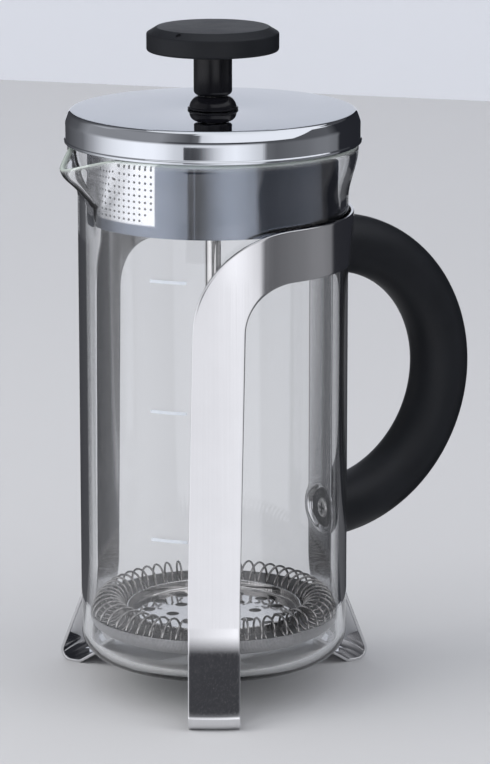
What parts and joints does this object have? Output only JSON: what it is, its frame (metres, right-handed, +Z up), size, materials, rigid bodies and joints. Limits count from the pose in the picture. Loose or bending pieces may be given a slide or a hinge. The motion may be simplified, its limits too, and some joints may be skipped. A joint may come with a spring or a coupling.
{
  "type": "press coffee maker",
  "caption": "Press coffee maker: glass beaker with a spout in a three-legged bent steel frame, C-shaped handle, steel lid with strainer, knob, rod and stacked filter.",
  "frame": {"origin": "on the beaker's axis at the table plane that the three toes stand on", "axes": "+Z up along the beaker's axis, +X towards the handle, -X towards the spout"},
  "size_m": [0.1225, 0.0828, 0.1744],
  "materials": {
    "polished_steel": "mirror polished stainless steel, with faint drawing lines on the bends",
    "lid_steel": "mirror polished stainless steel",
    "sleeve_steel": "polished stainless steel in the lid's shade",
    "fine_steel": "bright wire and pressed plate",
    "woven_steel": "fine woven wire, dull",
    "glass": "clear heat-resistant glass",
    "marks": "thin printed enamel, modelled as a film",
    "matt_black": "fine matt texture",
    "gloss_black": "glossy moulded plastic",
    "insert_brass": "turned brass"
  },
  "bodies": {
    "frame": {"frame_sheet": "polished_steel", "handle_grip": "matt_black", "handle_screws": "fine_steel", "handle_inserts": "insert_brass"},
    "beaker": {"beaker": "glass", "fill_marks": "marks"},
    "lid_core": {"lid_bush": "gloss_black", "lid_bush_nut": "gloss_black"},
    "lid": {"lid_cover": "lid_steel", "strainer_sleeve": "sleeve_steel"},
    "plunger": {"plunger_rod": "fine_steel", "knob_disc": "matt_black", "knob_stem": "gloss_black", "knob_insert": "insert_brass"},
    "filter": {"filter_hub": "fine_steel", "perforated_plate": "fine_steel", "coil_spring": "fine_steel", "mesh_screen": "woven_steel", "cross_plate": "fine_steel", "filter_nut": "fine_steel"}
  },
  "joints": [
    {"name": "beaker_lift", "type": "slide", "parent": "frame", "child": "beaker", "axis": [0, 0, 1], "range_m": [0, 0.14]},
    {"name": "lid_lift", "type": "slide", "parent": "beaker", "child": "lid_core", "axis": [0, 0, 1], "range_m": [0, 0.15]},
    {"name": "lid_turn", "type": "hinge", "parent": "lid_core", "child": "lid", "pos_m": [0, 0, 0.1528], "axis": [0, 0, 1], "continuous": true},
    {"name": "plunger_press", "type": "slide", "parent": "lid_core", "child": "plunger", "axis": [0, 0, 1], "range_m": [0, 0.098]},
    {"name": "filter_turn", "type": "hinge", "parent": "plunger", "child": "filter", "pos_m": [0, 0, 0.016], "axis": [0, 0, 1], "continuous": true}
  ]
}
